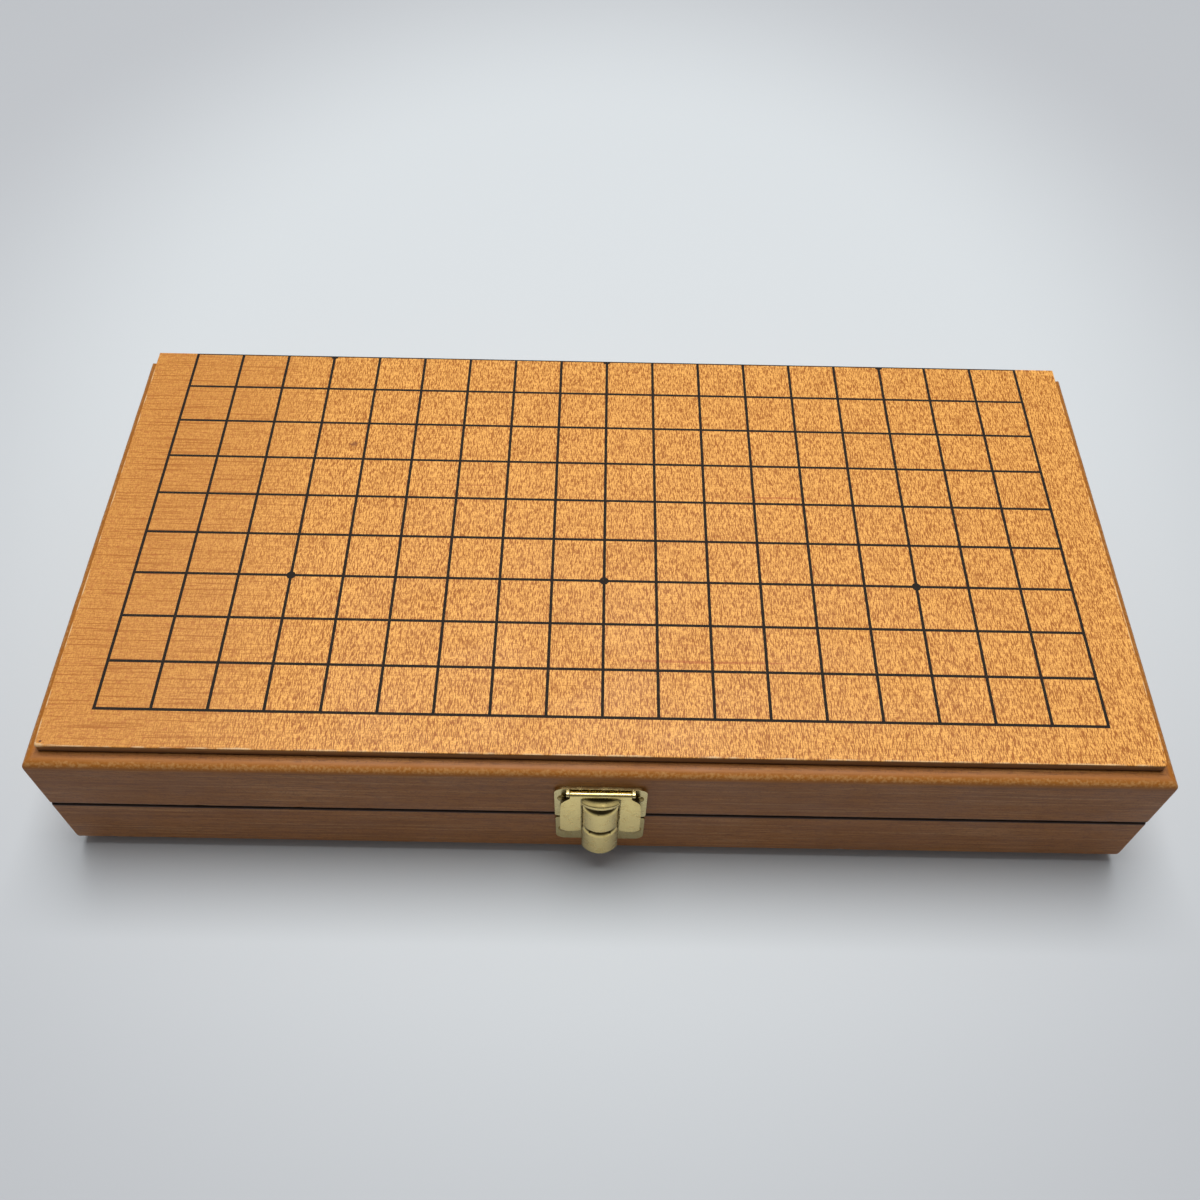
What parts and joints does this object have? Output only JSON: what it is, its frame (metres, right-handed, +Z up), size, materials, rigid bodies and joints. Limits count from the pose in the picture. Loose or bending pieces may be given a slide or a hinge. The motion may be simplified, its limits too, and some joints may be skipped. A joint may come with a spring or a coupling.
{
  "type": "go board with stone drawers",
  "caption": "Folding wooden go board: two hinged half cases with a half board on each outer face, a stone drawer in each end and a sprung brass hasp on the front.",
  "frame": {"origin": "centre of the closed case's underside, on the surface it lies on", "axes": "+Z up, -Y to the front with the latch, +X along the case to the upper drawer's end"},
  "size_m": [0.3, 0.1554, 0.052],
  "materials": {
    "board_veneer": "satin varnished maple veneer, orange brown, with a brown plywood edge",
    "grid_ink": "matt dark ink filled into shallow grooves",
    "rail_wood": "satin varnished orange-brown hardwood",
    "panel_plywood": "thin plywood, lightly sealed",
    "guide_wood": "plain planed wood",
    "drawer_front_wood": "satin varnished hardwood",
    "drawer_wood": "plain planed wood",
    "drawer_floor_plywood": "thin plywood",
    "hinge_brass": "brass-plated, satin",
    "screw_brass": "brass-plated",
    "latch_brass": "brass-plated pressed sheet, slightly pitted",
    "nail_brass": "brass-plated",
    "pin_steel": "drawn wire",
    "spring_steel": "spring wire"
  },
  "bodies": {
    "lower_half": {"lower_board_plate": "board_veneer", "lower_grid_lines": "grid_ink", "lower_front_rail": "rail_wood", "lower_rear_rail": "rail_wood", "lower_closed_end_rail": "rail_wood", "lower_window_rail": "rail_wood", "lower_inner_panel": "panel_plywood", "lower_backing_panel": "panel_plywood", "lower_front_guide": "guide_wood", "lower_rear_guide": "guide_wood", "lower_drawer_stop": "guide_wood", "lower_hinge_screws": "screw_brass", "lower_latch_nails": "nail_brass", "left_hinge_lower_leaf": "hinge_brass", "right_hinge_lower_leaf": "hinge_brass", "left_hinge_pin": "pin_steel", "right_hinge_pin": "pin_steel", "keeper_plate": "latch_brass"},
    "upper_half": {"upper_board_plate": "board_veneer", "upper_grid_lines": "grid_ink", "upper_front_rail": "rail_wood", "upper_rear_rail": "rail_wood", "upper_closed_end_rail": "rail_wood", "upper_window_rail": "rail_wood", "upper_inner_panel": "panel_plywood", "upper_backing_panel": "panel_plywood", "upper_front_guide": "guide_wood", "upper_rear_guide": "guide_wood", "upper_drawer_stop": "guide_wood", "upper_hinge_screws": "screw_brass", "upper_latch_nails": "nail_brass", "left_hinge_upper_leaf": "hinge_brass", "right_hinge_upper_leaf": "hinge_brass", "latch_plate": "latch_brass", "latch_pin": "pin_steel", "latch_spring": "spring_steel"},
    "upper_drawer": {"upper_drawer_front": "drawer_front_wood", "upper_drawer_side_front": "drawer_wood", "upper_drawer_side_rear": "drawer_wood", "upper_drawer_back": "drawer_wood", "upper_drawer_floor": "drawer_floor_plywood"},
    "lower_drawer": {"lower_drawer_front": "drawer_front_wood", "lower_drawer_side_front": "drawer_wood", "lower_drawer_side_rear": "drawer_wood", "lower_drawer_back": "drawer_wood", "lower_drawer_floor": "drawer_floor_plywood"},
    "latch_hasp": {"latch_hasp": "latch_brass"}
  },
  "joints": [
    {"name": "fold", "type": "hinge", "parent": "lower_half", "child": "upper_half", "pos_m": [0, 0.07435, 0.026], "axis": [-1, 0, 0], "range_deg": [0, 180]},
    {"name": "hasp_swing", "type": "hinge", "parent": "upper_half", "child": "latch_hasp", "pos_m": [0, -0.07615, 0.0415], "axis": [-1, 0, 0], "range_deg": [0, 110], "stiffness_Nm_per_rad": 0.01, "springref_deg": -17.19},
    {"name": "upper_drawer_slide", "type": "slide", "parent": "upper_half", "child": "upper_drawer", "axis": [1, 0, 0], "range_m": [0, 0.2]},
    {"name": "lower_drawer_slide", "type": "slide", "parent": "lower_half", "child": "lower_drawer", "axis": [-1, 0, 0], "range_m": [0, 0.2]}
  ]
}
